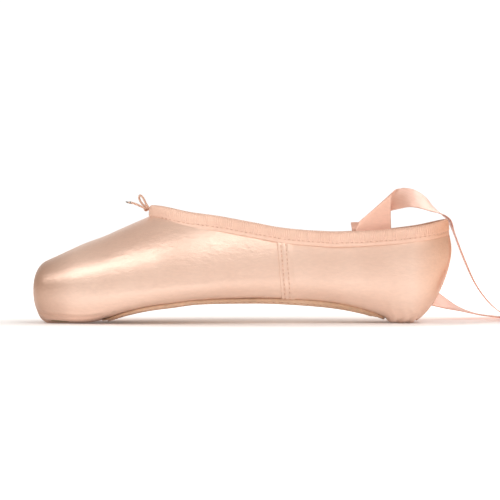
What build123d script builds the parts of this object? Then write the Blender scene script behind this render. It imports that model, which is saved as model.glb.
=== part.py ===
from build123d import *
import math
import os

# Ballet slipper with a stiffened toe (pointe shoe), all sizes in millimetres.
# Toe towards -X, heel towards +X, near side -Y, +Z up.
# The origin is the middle of the flat that the heel rests on.

# ---- the shoe's form -------------------------------------------------------------------
TIP_X = -206.2          # flat end of the toe platform
HEEL_X = 28.6           # rearmost point of the heel
TOP_LINE = [(-206.2, 32.2), (-193.2, 38.1), (-179.7, 44.4), (-166.1, 49.4), (-157.1, 53.4),
            (-142.9, 59.6), (-130, 65), (-115, 69.3), (-95, 71.5), (-60, 71), (28.6, 72)]
SOLE_LINE = [(-206.2, -0.25), (-195, -0.25), (-180, -0.1), (-174, 0.7), (-168, 2.0), (-161, 3.7),
             (-152.6, 6.0), (-141.3, 8.4), (-130, 9.9), (-113, 11.9), (-84.8, 12.4), (-64.7, 11.9),
             (-36.7, 9.5), (-17, 5.6), (-9, 3.3), (-6, 0.9), (-2, -0.25), (6, -0.25), (28.6, -0.25)]
HALF_WIDTH = [(-206.2, 19.5), (-190, 26), (-170, 32), (-150, 35.5), (-135, 36.2), (-115, 34),
              (-90, 29), (-65, 25.5), (-40, 24.5), (-15, 25.5), (5, 26), (28.6, 24)]
WIDEST_Z = [(-206.2, 19), (-180, 18), (-150, 20), (-100, 25), (-60, 27), (-20, 28), (10, 34),
            (28.6, 41)]
RIM_LINE = [(-142, 66.4), (-134.5, 65.8), (-120.9, 63), (-102.8, 60.5), (-84.8, 57.3),
            (-66.7, 54), (-48.6, 52.3), (-35, 51.7), (-6.8, 53.2), (5.7, 54.5), (14.1, 55.7),
            (27, 58.6)]
TOE_REACH, TOE_DROP = 9.5, 13.8         # rounding under the platform, along X and along Z
BROW_REACH, BROW_DROP = 6.0, 7.0        # rounding over the platform
CHEEK_REACH, CHEEK_DROP = 8.0, 7.0      # rounding at the platform's sides
HEEL_REACH, NAPE_REACH = 24.0, 12.0     # rounding under and over the heel's rearmost point
SOLE_POWER, CROWN_POWER = 2.5, 2.1      # squareness of a section below and above its widest
RING_POINTS = 18

# ---- cloth, board and leather: depth of each layer's two faces below the satin's face ------
SATIN = (0.0, 0.6)
LINING = (0.7, 1.2)
BOX = (0.7, 3.2)
BOX_LINING = (3.3, 3.8)
SHANK = (1.3, 3.8)
INSOLE = (3.9, 4.9)
SOCK = (5.0, 5.5)
OUTSOLE = (-1.8, -0.1)
STRIP = (-0.6, -0.1)
THREAD = (-0.3, -0.05)
SOLE_STITCHES = 40
SOLE_THREAD = 1.8
GAP = 0.1

# ---- seams and edges in side view ---------------------------------------------------------
SEAM_TOP, SEAM_FOOT = (-71.2, 60), (-66.0, 0)          # quarter's folded edge over the vamp
WING_TOP, WING_FOOT = (-153.5, 62), (-117, -4)         # back edge of the toe box
SEAM_ROWS = (2.0, 4.8)                                 # twin stitch rows behind the folded edge
THREAD_WIDTH = 0.5
HEEL_STRIP_W = 9.6
NAIL_D, NAIL_LENGTH = 1.8, 4.0
EDGE_BELOW_RIM = 5.8                                   # satin's cut edge, inside the binding
BINDING_OUT, BINDING_IN = 0.9, 1.9                     # binding's faces either side of the satin's
BINDING_LEAF = 0.7
BINDING_STEPS = 36
THROAT_CUT, SIDE_CUT, LINING_CUT = 0.9, 3.3, 1.3       # how far below its edge line each cloth ends
THROAT_RUN = 14.0

# ---- drawstring -----------------------------------------------------------------------------
CORD_D = 1.2
BOW_X = -140.3                                         # middle of the channel in the casing
POCKET_DEPTH, POCKET_WIDTH = 2.0, 4.6                  # room for the two strands, along X and Y
POCKET_FLOOR, NOTCH_FLOOR = 58.6, 62.0
STRAND_Y, STRAND_FOOT = 1.1, 58.9
LOOP_ROUTE = [(BOW_X, -STRAND_Y, STRAND_FOOT), (BOW_X, -STRAND_Y, 62.6), (-142.0, -0.9, 64.6),
              (-143.9, -1.5, 67.6), (-145.0, -3.2, 70.4), (-146.8, -2.8, 72.3),
              (-147.9, -0.6, 70.8), (-146.6, 0.8, 67.8), (-144.2, 0.4, 65.6),
              (-143.2, -1.4, 64.4), (-145.0, -2.6, 65.0), (-147.6, -2.9, 66.3),
              (-150.4, -2.6, 67.5), (-153.4, -2.0, 68.0)]
KNOT = (-143.7, 0, 65.0)
KNOT_D = 3.4
TIP_FLARE, TIP_LENGTH = 0.9, 1.6

# ---- ribbons -----------------------------------------------------------------------------------
RIBBON_W, RIBBON_T = 20.0, 0.6
RIBBON_X = -16.0                                       # middle of the sewn end
SEWN_FOOT, SEWN_TOP = (22.0, 34.0), (15.6, 53.0)       # distance from the middle plane, and height
# the two edges of each ribbon past its sewn end
NEAR_EDGES = [((-6, -15.6, 63.8), (-5, -3, 73)), ((2.8, -14.0, 65.2), (1.5, 2.5, 75.8)),
              ((10, -10.5, 64.6), (9, 7, 74.8)), ((16.5, -8, 63), (15.5, 10.5, 71.2)),
              ((21, -6.5, 62), (20.3, 13, 66)), ((25.3, -5.5, 60.6), (25.3, 14.5, 61.4)),
              ((28.9, -4.5, 57.4), (28.9, 15.5, 57.8)), ((31.2, -3, 50), (31.2, 17, 50.5)),
              ((36.5, 0, 37), (36.5, 20, 37)),
              ((43, 3, 23), (43, 23, 23)), ((50, 4.8, 12.8), (50, 24.8, 12.8)),
              ((57.5, 5.8, 5.8), (57.5, 25.8, 5.8)), ((66, 6, 1.6), (66, 26, 1.6)),
              ((76, 6, 0.6), (76, 26, 0.6))]
FAR_EDGES = [((-26.5, 19.5, 56), (-6.5, 19.5, 56)), ((-26, 25.5, 55.5), (-6.2, 26, 55.8)),
             ((-19, 31, 39), (-3, 31, 51)), ((-11.5, 34, 27.5), (3.5, 34, 40.5)),
             ((0.5, 32.5, 16.5), (11.5, 39.5, 31.5)), ((14, 30, 10.3), (20, 46, 20.7)),
             ((27, 30.2, 6.8), (29, 48.8, 13.6)), ((39, 30.5, 4.6), (39, 50.5, 6.6)),
             ((50, 31.5, 2.4), (50, 51.5, 2.4)), ((62, 32, 0.8), (62, 52, 0.8)),
             ((76, 32, 0.6), (76, 52, 0.6))]
ROLL_R, ROLL_HOLE = 11.5, 3.0

FAR = 200.0                                            # beyond every face of the shoe


def curve(points):
    """A smooth height at any x through a few points."""
    last = len(points) - 1
    slopes = []
    for i in range(last + 1):
        (x0, y0), (x1, y1) = points[max(i - 1, 0)], points[min(i + 1, last)]
        slopes.append((y1 - y0) / (x1 - x0))
    for i in range(last):
        if points[i][1] == points[i + 1][1]:
            slopes[i] = slopes[i + 1] = 0.0

    def at(x):
        x = min(max(x, points[0][0]), points[last][0])
        i = max(k for k in range(last) if points[k][0] <= x)
        (x0, y0), (x1, y1) = points[i], points[i + 1]
        run = x1 - x0
        s = (x - x0) / run
        ends = y0 * (1 + 2 * s) * (1 - s) ** 2 + y1 * s * s * (3 - 2 * s)
        return ends + run * s * (1 - s) * ((1 - s) * slopes[i] - s * slopes[i + 1])
    return at


top_z, sole_z, half_width, widest_z, rim_z = map(
    curve, (TOP_LINE, SOLE_LINE, HALF_WIDTH, WIDEST_Z, RIM_LINE))


def rounding(distance, reach, drop, power=2.0):
    """How far a face has drawn in, at a distance from the end that it rounds into."""
    if distance >= reach:
        return 0.0
    q = 1 - max(distance, 0.0) / reach
    return drop * (1 - (1 - q ** power) ** (1 / power))


def section(x, depth):
    """Bottom, top, half width and height of the widest place, at x and a depth below the satin."""
    toe = x - (TIP_X + depth)
    heel = HEEL_X - depth - x
    middle = widest_z(x)
    bottom = sole_z(x) + depth + rounding(toe, TOE_REACH - depth, TOE_DROP - depth)
    top = top_z(x) - depth - rounding(toe, BROW_REACH - depth, BROW_DROP - depth)
    half = half_width(x) - depth - rounding(toe, CHEEK_REACH - depth, CHEEK_DROP - depth)
    bottom += rounding(heel, HEEL_REACH - depth, middle - bottom, 1.5)
    top -= rounding(heel, NAPE_REACH - depth, top - middle, 1.5)
    half -= rounding(heel, HEEL_REACH - depth, half, 2.2)
    return bottom, top, half, middle


def side_y(x, z, depth=0.0):
    """Half width of the form at x and z."""
    bottom, top, half, middle = section(x, depth)
    power, span = (CROWN_POWER, top - middle) if z > middle else (SOLE_POWER, middle - bottom)
    level = min(abs(z - middle) / span, 1.0)
    return half * (1 - level ** power) ** (1 / power)


def ring(x, depth):
    bottom, top, half, middle = section(x, depth)
    points = []
    for k in range(RING_POINTS):
        angle = 2 * math.pi * k / RING_POINTS
        across, up = math.cos(angle), math.sin(angle)
        power, span = (CROWN_POWER, top - middle) if up > 0 else (SOLE_POWER, middle - bottom)
        y = math.copysign(abs(across) ** (2 / power), across) * half
        z = middle + math.copysign(abs(up) ** (2 / power), up) * span
        points.append(Vector(x, y, z))
    even = [k / RING_POINTS for k in range(RING_POINTS + 1)]
    return Wire([Edge.make_spline(points, periodic=True, parameters=even)])


def stations(depth):
    """Places of the sections: close together where the ends round over."""
    toe = [TIP_X + depth + (10 - depth) * (1 - math.cos(math.radians(22 * k))) for k in range(5)]
    start, stop, steps = TIP_X + 20, HEEL_X - 27, 10
    middle = [start + (stop - start) * k / steps for k in range(steps + 1)]
    reach = HEEL_REACH - depth
    heel = [HEEL_X - depth - reach * (1 - math.cos(math.radians(14 * k))) for k in range(6, 0, -1)]
    return toe + middle + heel


def form(depth):
    return Solid.make_loft([ring(x, depth) for x in stations(depth)])


FORMS = {}


def form_at(depth):
    if depth not in FORMS:
        FORMS[depth] = form(depth)
    return FORMS[depth]


def layer(faces, region):
    """What lies between two depths, within a region."""
    return (form_at(faces[0]) & region) - form_at(faces[1])


def side_prism(points, y0=-FAR, y1=FAR):
    """A prism along Y with an outline of straight sides in the side view."""
    face = make_face(Polyline(*[(x, y0, z) for x, z in points], close=True))
    return extrude(face, amount=y1 - y0, dir=(0, 1, 0))


def slanted(top_point, foot_point, forward, shift=0.0):
    """Everything in front of, or behind, a slanting line in side view."""
    (x0, z0), (x1, z1) = top_point, foot_point
    slope = (x1 - x0) / (z1 - z0)
    high, low = x0 + slope * (FAR - z0) + shift, x0 + slope * (-FAR - z0) + shift
    end = -2 * FAR if forward else 2 * FAR
    return side_prism([(high, FAR), (low, -FAR), (end, -FAR), (end, FAR)])


def above_line(height, x0, x1, steps=14):
    """Everything above a curved line in side view."""
    line = [(x0 + (x1 - x0) * k / steps, 0, height(x0 + (x1 - x0) * k / steps))
            for k in range(steps + 1)]
    edge = Spline(*line)
    sides = Polyline(line[-1], (x1, 0, FAR), (x0, 0, FAR), line[0])
    return extrude(make_face(edge + sides), amount=FAR, dir=(0, 1, 0), both=True)


def plan_outline(x0, x1, share, steps):
    """Points down one side of a sole: a share of the shoe's width, with rounded ends."""
    side = []
    for k in range(steps + 1):
        along = -math.cos(math.pi * k / steps)
        x = (x0 + x1) / 2 + (x1 - x0) / 2 * along
        side.append((x, share * half_width(x) * (1 - abs(along) ** 5) ** 0.4))
    return side


def plan_prism(x0, x1, share, z0, z1, steps=12):
    """A prism along Z with the outline of a sole."""
    side = plan_outline(x0, x1, share, steps)
    outline = side + [(x, -y) for x, y in side[-2:0:-1]]
    face = make_face(Spline(*[(x, y, z0) for x, y in outline], periodic=True))
    return extrude(face, amount=z1 - z0, dir=(0, 0, 1))


def box(x0, x1, y0, y1, z0, z1):
    return Pos((x0 + x1) / 2, (y0 + y1) / 2, (z0 + z1) / 2) * Box(x1 - x0, y1 - y0, z1 - z0)


# ---- the binding round the foot opening ------------------------------------------------------
def edge_z(x):
    return rim_z(x) - EDGE_BELOW_RIM


def closing_x(low, high):
    """Where the cut edge meets the middle line of the form, between an open and a closed place."""
    for _ in range(40):
        middle = (low + high) / 2
        if section(middle, 0)[1] > edge_z(middle):
            low = middle
        else:
            high = middle
    return low


THROAT_X = closing_x(-120, -150)
BACK_X = closing_x(10, 28)


def edge_place(turn):
    """A point of the satin's cut edge; turn runs from 0 at the throat to pi at the heel."""
    x = (THROAT_X + BACK_X) / 2 - (BACK_X - THROAT_X) / 2 * math.cos(turn)
    return Vector(x, side_y(x, edge_z(x)), edge_z(x))


def edge_frame(turn):
    """Place, outward direction and standing direction of the binding."""
    step = 0.03
    place = edge_place(turn)
    lean = 0.05 + 0.26 * math.sin(turn)
    if turn <= 0 or turn >= math.pi:
        out = Vector(-1 if turn <= 0 else 1, 0, 0)
        place.Y = 0
    else:
        along = edge_place(min(turn + step, math.pi)) - edge_place(max(turn - step, 0))
        out = Vector(-along.Y, along.X, 0).normalized()
    return place, out, (Vector(0, 0, 1) - out * lean).normalized()


def binding_half(inset=0.0, low=-3.0, high=EDGE_BELOW_RIM, out=BINDING_OUT, back=BINDING_IN):
    """Half of a band round the opening, on the far side, as a loft of flat sections."""
    wires = []
    for k in range(BINDING_STEPS + 1):
        place, outward, up = edge_frame(math.pi * k / BINDING_STEPS)
        corners = [place + outward * (out - inset) + up * low,
                   place + outward * (out - inset) + up * (high - inset),
                   place - outward * (back - inset) + up * (high - inset),
                   place - outward * (back - inset) + up * low]
        wires.append(Wire.make_polygon(corners, close=True))
    return Solid.make_loft(wires, ruled=True)


def band(**sizes):
    half = binding_half(**sizes)
    return half + half.mirror(Plane.XZ)


def ribbon_strip(edges):
    """A thin strip between two edges, given as pairs of points across it."""
    wires = []
    last = len(edges) - 1
    for i, (left, right) in enumerate(edges):
        along = Vector(edges[min(i + 1, last)][0]) - Vector(edges[max(i - 1, 0)][0])
        along += Vector(edges[min(i + 1, last)][1]) - Vector(edges[max(i - 1, 0)][1])
        left, right = Vector(left), Vector(right)
        thick = along.cross(right - left).normalized() * (RIBBON_T / 2)
        wires.append(Wire.make_polygon([left - thick, right - thick, right + thick, left + thick],
                                       close=True))
    return Solid.make_loft(wires, ruled=True)


def sewn_end(side):
    """Edges of the ribbon's end, sewn inside the quarter; side is -1 for near and 1 for far."""
    return [((RIBBON_X - RIBBON_W / 2, side * y, z), (RIBBON_X + RIBBON_W / 2, side * y, z))
            for y, z in (SEWN_FOOT, SEWN_TOP)]


def roll(edge_pair):
    """The rest of a ribbon's length, rolled up on the floor."""
    (x, y, _), _ = edge_pair
    face = Circle(ROLL_R) - Circle(ROLL_HOLE)
    return extrude(Plane((x, y, ROLL_R + RIBBON_T / 2), (1, 0, 0), (0, 1, 0)) * face, amount=RIBBON_W)


def near_ribbon():
    """It stands up out of the shoe, folds over on a slant and falls behind the heel."""
    left, right = RIBBON_X - RIBBON_W / 2, RIBBON_X + RIBBON_W / 2
    y, z = SEWN_TOP
    face = make_face(Polyline((left, -y, z), (right, -y, z), (right, -y, z + RIBBON_W), close=True))
    folded = extrude(face, amount=RIBBON_T / 2, dir=(0, 1, 0), both=True)
    return ribbon_strip(sewn_end(-1)) + folded + ribbon_strip(NEAR_EDGES) + roll(NEAR_EDGES[-1])


def far_ribbon():
    return ribbon_strip((sewn_end(1) + FAR_EDGES)[::-1]) + roll(FAR_EDGES[-1])


def fillet_radii(points):
    radii = []
    for a, b, c in zip(points, points[1:], points[2:]):
        first, second = Vector(b) - Vector(a), Vector(c) - Vector(b)
        half_turn = math.radians(first.get_angle(second)) / 2
        radii.append(0.45 * min(first.length, second.length) / math.tan(half_turn))
    return radii


def cord_tube(points, diameter):
    radii = fillet_radii(points)
    print("cord radii", [round(r, 1) for r in radii])
    path = FilletPolyline(*points, radius=radii)
    start = Plane(path @ 0, z_dir=path % 0)
    tube = sweep(start * Circle(diameter / 2), path=path)
    print("cord volume", round(tube.volume, 2), "length x section",
          round(path.length * math.pi * diameter ** 2 / 4, 2))
    return tube


def save(parts):
    for name, shape in parts.items():
        solids = shape.solids()
        shape = solids[0] if len(solids) == 1 else Compound(children=list(solids))
        export_step(shape, "parts/" + name + ".step")
        print(name, len(solids), round(shape.volume, 1), flush=True)


def cut_z(x):
    """Height at which the satin ends under the binding: close to its edge at the throat, lower behind."""
    along = min(max((x - THROAT_X) / THROAT_RUN, 0.0), 1.0)
    return edge_z(x) - THROAT_CUT - (SIDE_CUT - THROAT_CUT) * along * (2 - along)


def lining_cut_z(x):
    return cut_z(x) - LINING_CUT


def upper_parts():
    """Satin, linings and toe box."""
    whole = box(-300, 100, -FAR, FAR, 0, FAR)
    satin_room = whole - above_line(cut_z, THROAT_X - 4, HEEL_X + 6)
    lining_room = whole - above_line(lining_cut_z, THROAT_X - 8, HEEL_X + 6)
    vamp_side = slanted(SEAM_TOP, SEAM_FOOT, True)
    heel_side = slanted(SEAM_TOP, SEAM_FOOT, False, 2 * GAP)
    in_box, behind_box = slanted(WING_TOP, WING_FOOT, True), slanted(WING_TOP, WING_FOOT, False, GAP)
    sides = {"near": box(-300, 100, -FAR, -GAP, -50, FAR), "far": box(-300, 100, GAP, FAR, -50, FAR)}
    shank_room = plan_prism(-119, -40, 0.62, -5, 25)
    step_room = (behind_box & slanted(WING_TOP, WING_FOOT, True, 0.6)) - shank_room
    parts = {"vamp_satin": layer(SATIN, satin_room & vamp_side), "toe_box": layer(BOX, in_box)}
    front = layer(BOX_LINING, slanted(WING_TOP, WING_FOOT, True, 0.4))
    step = layer((LINING[0], BOX_LINING[1]), step_room)
    behind = layer(LINING, (lining_room & behind_box) & vamp_side)
    parts["vamp_lining"] = front + step + behind
    for label, side in sides.items():
        parts["quarter_satin_" + label] = layer(SATIN, (satin_room & heel_side) & side)
        parts["quarter_lining_" + label] = layer(LINING, (lining_room & heel_side) & side)
    return parts


def bottom_parts():
    """Leather, board and cloth under the foot, and the nails through the heel seat."""
    nails = Compound(children=[Pos(x, y, sole_z(x) + 3.9) * Cylinder(NAIL_D / 2, NAIL_LENGTH)
                               for x, y in ((-20, 0), (-8, -6), (-8, 6))])
    parts = {
        "outsole": layer(OUTSOLE, plan_prism(-168.5, -9, 0.66, -5, 19)),
        "shank": layer(SHANK, plan_prism(-113, 4, 0.56, -5, 19)),
        "insole_board": layer(INSOLE, plan_prism(-194, 16, 0.74, -5, 19)),
        "sock_liner": layer(SOCK, plan_prism(-190, 14, 0.72, -5, 19)),
    }
    for name in ("shank", "insole_board", "sock_liner"):
        parts[name] = parts[name] - nails
    parts["shank_nails"] = nails
    return parts


def under_height(x, y, depth):
    """Height of the form's underside at a place in plan."""
    bottom, _, half, middle = section(x, depth)
    level = abs(y) / half
    return middle - (middle - bottom) * (1 - level ** SOLE_POWER) ** (1 / SOLE_POWER)


def sole_stitches():
    """Short threads in a row round the outsole's underside, each below the leather all along its length."""
    threads = []
    reach, inner = SOLE_THREAD / 2, THREAD_WIDTH / 2
    for x, y in plan_outline(-165.3, -16.0, 0.57, SOLE_STITCHES)[1:-1]:
        z = min(under_height(x + step, max(abs(y) - inner, 0), OUTSOLE[0] - THREAD_WIDTH)
                for step in (-reach, 0, reach))
        threads += [Pos(x, side * y, z) * Box(SOLE_THREAD, THREAD_WIDTH, THREAD_WIDTH / 2)
                    for side in (-1, 1)]
    return Compound(children=threads)


def trim_parts():
    """Heel strip and the lines of stitching on the satin and the sole."""
    parts = {}
    for label, y0, y1 in (("near", -FAR, 0), ("far", 0, FAR)):
        room = box(-90, -50, y0, y1, 14.5, 44.5)
        rows = [layer(THREAD, (room & slanted(SEAM_TOP, SEAM_FOOT, False, shift))
                      & slanted(SEAM_TOP, SEAM_FOOT, True, shift + THREAD_WIDTH)) for shift in SEAM_ROWS]
        parts["side_seam_stitches_" + label] = rows[0] + rows[1]
    parts["sole_stitches"] = sole_stitches()
    heel = box(6, 40, -HEEL_STRIP_W / 2, HEEL_STRIP_W / 2, 1.6, 80)
    parts["heel_strip"] = layer(STRIP, heel - above_line(cut_z, 0, HEEL_X + 6))
    return parts


def binding_parts():
    """The casing with its channel and pocket, its stitching and the string inside it."""
    x0, x1 = BOW_X - POCKET_DEPTH / 2, BOW_X + POCKET_DEPTH / 2
    half = POCKET_WIDTH / 2
    pocket = box(x0, x1, -half, half, POCKET_FLOOR, 90) + box(x0 - 4, x1, -half, half, NOTCH_FLOOR, 90)
    string_top = EDGE_BELOW_RIM - BINDING_LEAF - GAP
    return {
        "binding": band() - band(inset=BINDING_LEAF, low=-3.6) - pocket,
        "binding_stitches": band(low=-0.9, high=-0.5, out=BINDING_OUT + 0.25, back=-BINDING_OUT - 0.05)
        - box(x0 - 4, x1, -half, half, POCKET_FLOOR, 90),
        "drawstring": band(low=string_top - CORD_D, high=string_top, out=0.1, back=1.1) - pocket,
    }


def bow_parts():
    """What draws out of the casing together: the knot, the loop with its tail, and the frayed tip."""
    loop = cord_tube(LOOP_ROUTE, CORD_D)
    strand = cord_tube([(BOW_X, STRAND_Y, STRAND_FOOT), (BOW_X, STRAND_Y, 62.6), KNOT], CORD_D)
    ball = Pos(*KNOT) * Sphere(KNOT_D / 2)
    end, before = Vector(LOOP_ROUTE[-1]), Vector(LOOP_ROUTE[-2])
    tip = Plane(end, z_dir=end - before) * Cone(CORD_D / 2, TIP_FLARE, TIP_LENGTH,
                                                align=(Align.CENTER, Align.CENTER, Align.MIN))
    return {"drawstring_loop": loop, "drawstring_knot": (ball + strand) - loop, "drawstring_tip": tip}


def ribbon_parts():
    (foot_y, foot_z), (top_y, top_z) = SEWN_FOOT, SEWN_TOP
    lean = (foot_y - top_y) / (top_z - foot_z)
    stitches = [Pos(x, foot_y - 0.7 - lean * (z - foot_z), z) * Box(2.2, 0.3, 0.5)
                for x in (-24, -16, -8) for z in (35, 42)]
    far = Compound(children=stitches)
    return {"ribbon_near": near_ribbon(), "ribbon_far": far_ribbon(),
            "ribbon_stitches_near": far.mirror(Plane.XZ), "ribbon_stitches_far": far}


def main():
    os.makedirs("parts", exist_ok=True)
    for make in (ribbon_parts, bow_parts, binding_parts, bottom_parts, trim_parts, upper_parts):
        save(make())


if __name__ == "__main__":
    main()
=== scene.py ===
import math

import bpy
import numpy as np
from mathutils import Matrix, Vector


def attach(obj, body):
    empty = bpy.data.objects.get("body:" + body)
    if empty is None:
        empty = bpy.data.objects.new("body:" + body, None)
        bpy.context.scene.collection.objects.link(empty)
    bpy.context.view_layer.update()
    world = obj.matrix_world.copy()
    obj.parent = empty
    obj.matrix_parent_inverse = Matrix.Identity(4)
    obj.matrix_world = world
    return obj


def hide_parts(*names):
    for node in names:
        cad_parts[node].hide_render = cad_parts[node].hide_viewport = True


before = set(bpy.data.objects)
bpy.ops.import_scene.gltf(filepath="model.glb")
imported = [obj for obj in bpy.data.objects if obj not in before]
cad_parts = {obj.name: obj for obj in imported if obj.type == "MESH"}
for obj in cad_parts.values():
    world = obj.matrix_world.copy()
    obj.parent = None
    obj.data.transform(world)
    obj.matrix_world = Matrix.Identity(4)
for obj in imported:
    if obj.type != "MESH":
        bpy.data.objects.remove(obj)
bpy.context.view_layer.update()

# Ballet slipper with a stiffened toe. Sizes are in millimetres in the frame's axes and become
# metres where a mesh is made. Toe towards -X, near side -Y, +Z up, heel's rest at the origin.
MM = 0.001

# ---- the shoe's form, as in the CAD model ------------------------------------------------
TIP_X = -206.2
HEEL_X = 28.6
TOP_LINE = [(-206.2, 32.2), (-193.2, 38.1), (-179.7, 44.4), (-166.1, 49.4), (-157.1, 53.4),
            (-142.9, 59.6), (-130, 65), (-115, 69.3), (-95, 71.5), (-60, 71), (28.6, 72)]
SOLE_LINE = [(-206.2, -0.25), (-195, -0.25), (-180, -0.1), (-174, 0.7), (-168, 2.0), (-161, 3.7),
             (-152.6, 6.0), (-141.3, 8.4), (-130, 9.9), (-113, 11.9), (-84.8, 12.4), (-64.7, 11.9),
             (-36.7, 9.5), (-17, 5.6), (-9, 3.3), (-6, 0.9), (-2, -0.25), (6, -0.25), (28.6, -0.25)]
HALF_WIDTH = [(-206.2, 19.5), (-190, 26), (-170, 32), (-150, 35.5), (-135, 36.2), (-115, 34),
              (-90, 29), (-65, 25.5), (-40, 24.5), (-15, 25.5), (5, 26), (28.6, 24)]
WIDEST_Z = [(-206.2, 19), (-180, 18), (-150, 20), (-100, 25), (-60, 27), (-20, 28), (10, 34),
            (28.6, 41)]
RIM_LINE = [(-142, 66.4), (-134.5, 65.8), (-120.9, 63), (-102.8, 60.5), (-84.8, 57.3),
            (-66.7, 54), (-48.6, 52.3), (-35, 51.7), (-6.8, 53.2), (5.7, 54.5), (14.1, 55.7),
            (27, 58.6)]
TOE_REACH, TOE_DROP = 9.5, 13.8
BROW_REACH, BROW_DROP = 6.0, 7.0
CHEEK_REACH, CHEEK_DROP = 8.0, 7.0
HEEL_REACH, NAPE_REACH = 24.0, 12.0
SOLE_POWER, CROWN_POWER = 2.5, 2.1

SEAM_TOP, SEAM_FOOT = (-71.2, 60), (-66.0, 0)
WING_TOP, WING_FOOT = (-153.5, 62), (-117, -4)
SEAM_ROWS = (2.0, 4.8)
EDGE_BELOW_RIM = 5.8
HEEL_STRIP_W = 9.6


def curve(points):
    """A smooth height at any x through a few points."""
    xs, ys = np.array(points, float).T
    last = len(xs) - 1
    slopes = np.array([(ys[min(i + 1, last)] - ys[max(i - 1, 0)])
                       / (xs[min(i + 1, last)] - xs[max(i - 1, 0)]) for i in range(last + 1)])
    for i in np.nonzero(ys[1:] == ys[:-1])[0]:
        slopes[i] = slopes[i + 1] = 0.0

    def at(x):
        x = np.clip(x, xs[0], xs[-1])
        i = np.clip(np.searchsorted(xs, x, side="right") - 1, 0, last - 1)
        run = xs[i + 1] - xs[i]
        s = (x - xs[i]) / run
        ends = ys[i] * (1 + 2 * s) * (1 - s) ** 2 + ys[i + 1] * s * s * (3 - 2 * s)
        return ends + run * s * (1 - s) * ((1 - s) * slopes[i] - s * slopes[i + 1])
    return at


top_z, sole_z, half_width, widest_z, rim_z = map(
    curve, (TOP_LINE, SOLE_LINE, HALF_WIDTH, WIDEST_Z, RIM_LINE))


def rounding(distance, reach, drop, power=2.0):
    """How far a face has drawn in, at a distance from the end that it rounds into."""
    q = np.clip(1 - distance / reach, 0.0, 1.0)
    return drop * (1 - (1 - q ** power) ** (1 / power))


def section(x, depth=0.0):
    """Bottom, top, half width and height of the widest place, at x and a depth below the satin."""
    toe = x - (TIP_X + depth)
    heel = HEEL_X - depth - x
    middle = widest_z(x)
    bottom = sole_z(x) + depth + rounding(toe, TOE_REACH - depth, TOE_DROP - depth)
    top = top_z(x) - depth - rounding(toe, BROW_REACH - depth, BROW_DROP - depth)
    half = half_width(x) - depth - rounding(toe, CHEEK_REACH - depth, CHEEK_DROP - depth)
    bottom = bottom + rounding(heel, HEEL_REACH - depth, middle - bottom, 1.5)
    top = top - rounding(heel, NAPE_REACH - depth, top - middle, 1.5)
    half = half - rounding(heel, HEEL_REACH - depth, half, 2.2)
    return bottom, top, half, middle


def skin(x, angle, depth=0.0):
    """A point of the form: angle 0 is the top, a quarter turn the near side, half a turn the sole."""
    bottom, top, half, middle = section(x, depth)
    across, up = np.sin(angle), np.cos(angle)
    power = np.where(up > 0, CROWN_POWER, SOLE_POWER)
    span = np.where(up > 0, top - middle, middle - bottom)
    y = -np.sign(across) * np.abs(across) ** (2 / power) * half
    z = middle + np.sign(up) * np.abs(up) ** (2 / power) * span
    return np.stack(np.broadcast_arrays(x, y, z), axis=-1)


def side_y(x, z, depth=0.0):
    """Half width of the form at x and z."""
    bottom, top, half, middle = section(x, depth)
    upper = z > middle
    power = np.where(upper, CROWN_POWER, SOLE_POWER)
    span = np.maximum(np.where(upper, top - middle, middle - bottom), 1e-6)
    level = np.clip(np.abs(z - middle) / span, 0.0, 1.0)
    return half * (1 - level ** power) ** (1 / power)


def edge_z(x):
    return rim_z(x) - EDGE_BELOW_RIM


def edge_angle(x, depth=0.0, raise_by=0.0):
    """Angle at which the opening's edge crosses a section; 0 where the section is closed."""
    _, top, _, middle = section(x, depth)
    level = np.clip((edge_z(x) + raise_by - middle) / np.maximum(top - middle, 1e-6), 0.0, 1.0)
    return np.arccos(level ** (CROWN_POWER / 2))


def closing_x(low, high):
    """Where the cut edge meets the middle line of the form, between an open and a closed place."""
    for _ in range(40):
        middle = (low + high) / 2
        if section(middle)[1] > edge_z(middle):
            low = middle
        else:
            high = middle
    return low


THROAT_X = closing_x(-120, -150)
BACK_X = closing_x(10, 28)


def slant_x(top_point, foot_point, z):
    (x0, z0), (x1, z1) = top_point, foot_point
    return x0 + (x1 - x0) * (z - z0) / (z1 - z0)


def seam_x(z):
    return slant_x(SEAM_TOP, SEAM_FOOT, z)


def smooth(low, high, value):
    s = np.clip((value - low) / (high - low), 0.0, 1.0)
    return s * s * (3 - 2 * s)


def ripple(x, y, seed, octaves=3):
    """Soft seeded unevenness, about -1 to 1, from a few crossed waves."""
    rng = np.random.default_rng(seed)
    total = np.zeros(np.broadcast(x, y).shape)
    for k in range(octaves * 3):
        a, b, phase = rng.uniform(-1, 1), rng.uniform(-1, 1), rng.uniform(0, 2 * math.pi)
        scale = 1.6 ** (k % octaves)
        total = total + np.sin((a * x + b * y) * scale + phase) / scale
    return total / 3


# ---- mesh makers ----------------------------------------------------------------------------
def add_object(name, points, faces, uvs=None):
    mesh = bpy.data.meshes.new(name)
    mesh.from_pydata((np.asarray(points).reshape(-1, 3) * MM).tolist(), [], np.asarray(faces).tolist())
    if uvs is not None:
        layer = mesh.uv_layers.new(name="UVMap")
        corners = np.empty(len(mesh.loops), dtype=np.int32)
        mesh.loops.foreach_get("vertex_index", corners)
        layer.data.foreach_set("uv", np.asarray(uvs).reshape(-1, 2)[corners].ravel())
    mesh.polygons.foreach_set("use_smooth", [True] * len(mesh.polygons))
    mesh.update()
    made = bpy.data.objects.new(name, mesh)
    bpy.context.scene.collection.objects.link(made)
    return made


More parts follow.
